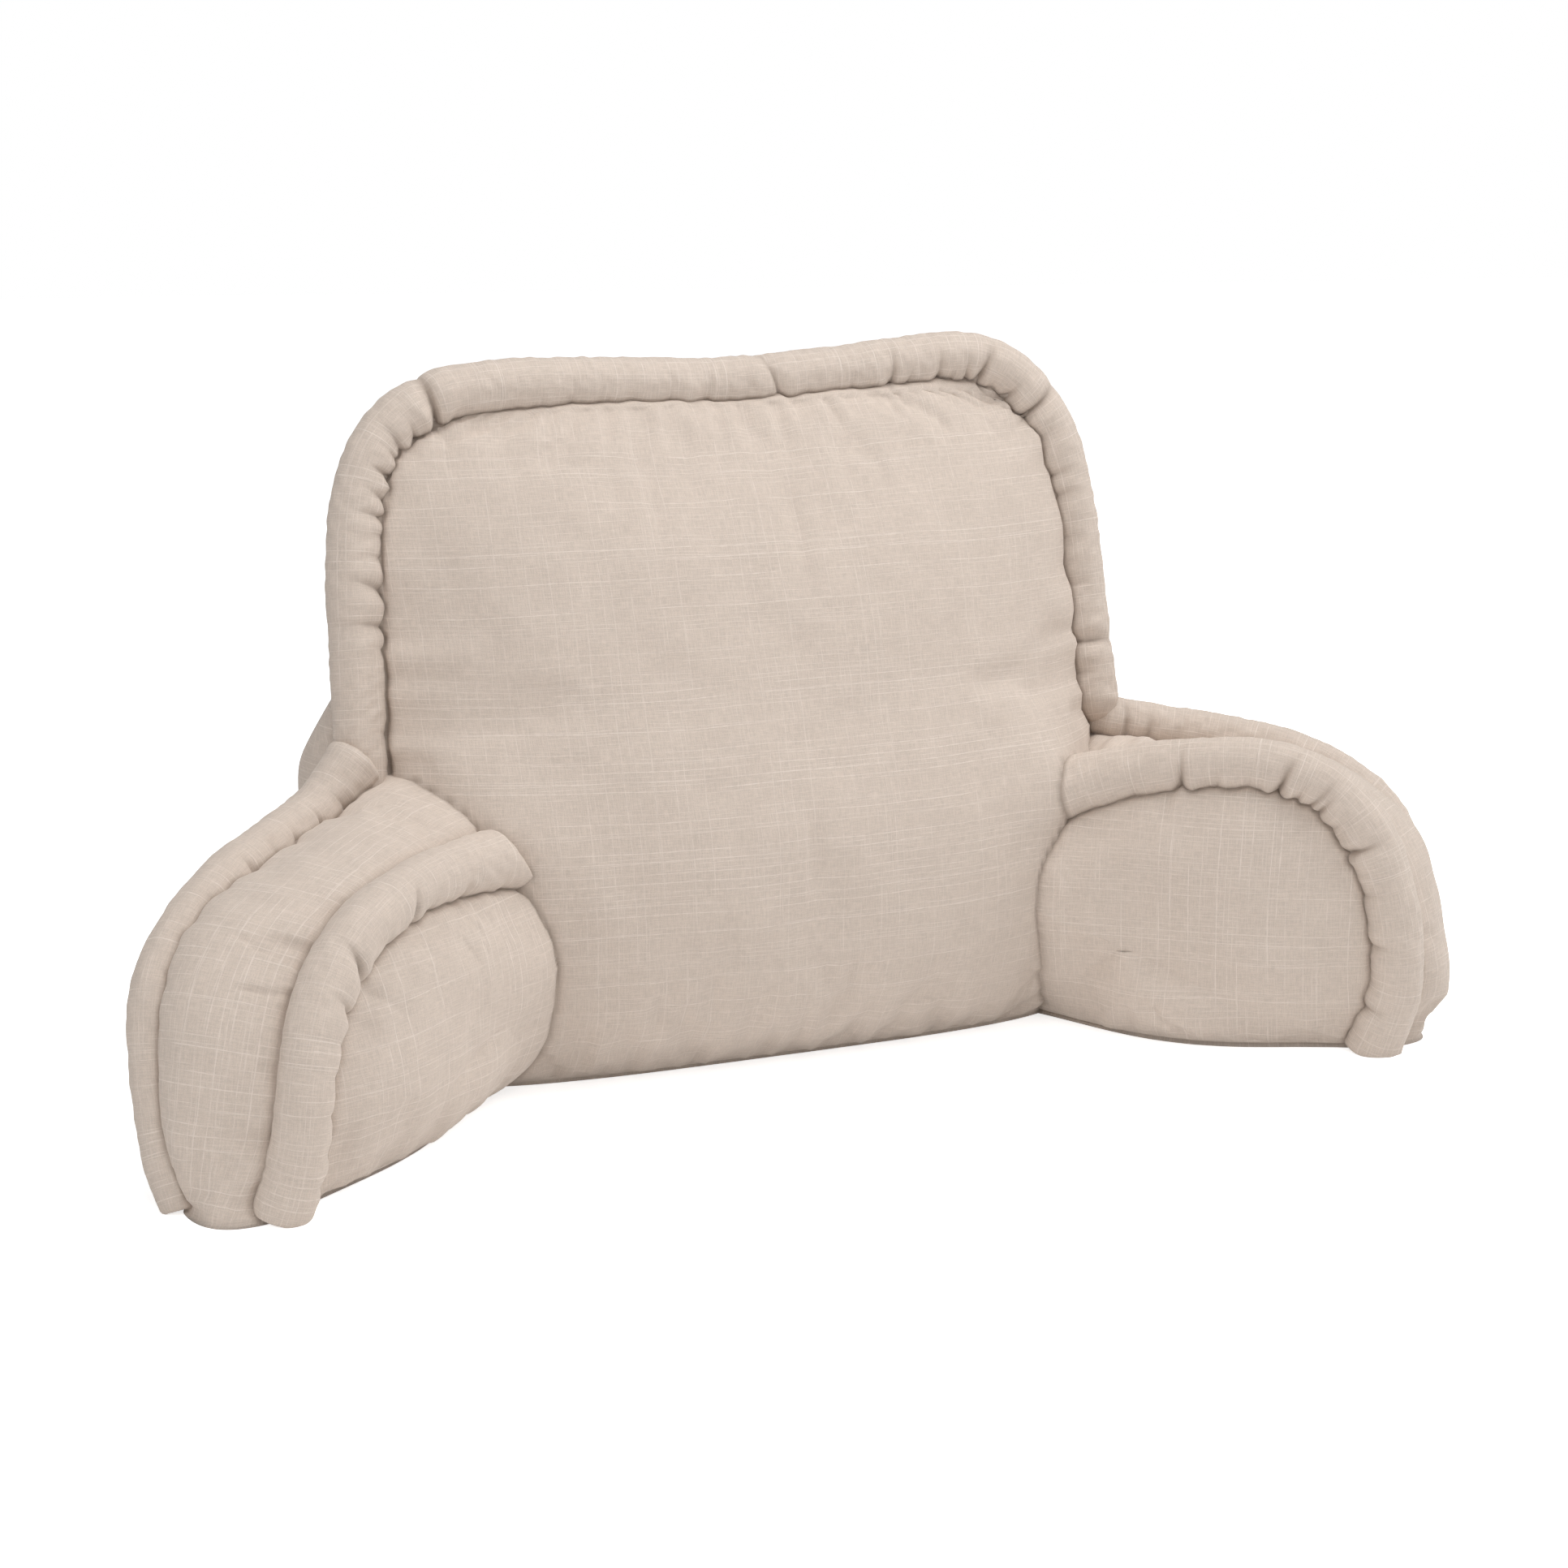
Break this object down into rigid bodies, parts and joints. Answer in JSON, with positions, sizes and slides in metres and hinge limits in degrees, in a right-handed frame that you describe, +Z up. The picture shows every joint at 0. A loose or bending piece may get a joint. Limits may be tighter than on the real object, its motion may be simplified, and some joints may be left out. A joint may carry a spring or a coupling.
{
  "type": "bed rest back cushion",
  "caption": "Bed-rest back cushion with splayed arms: a filled wedge-shaped back, filled arms and fat self-cord edges, standing on its flat base.",
  "frame": {"origin": "on the underside of the back, midway between its front and rear edges and its two sides", "axes": "+Z up, +X to the right of a viewer who faces the leaning side, -Y towards that viewer"},
  "size_m": [0.8703, 0.3892, 0.4511],
  "materials": {
    "cover": "slubbed linen-look plain weave, oatmeal",
    "piping": "the same cloth wrapped round a stuffed cord"
  },
  "bodies": {
    "root": {"back": "cover", "back_piping": "piping", "left_arm": "cover", "left_inner_piping": "piping", "left_outer_piping": "piping", "right_arm": "cover", "right_inner_piping": "piping", "right_outer_piping": "piping"}
  },
  "joints": []
}
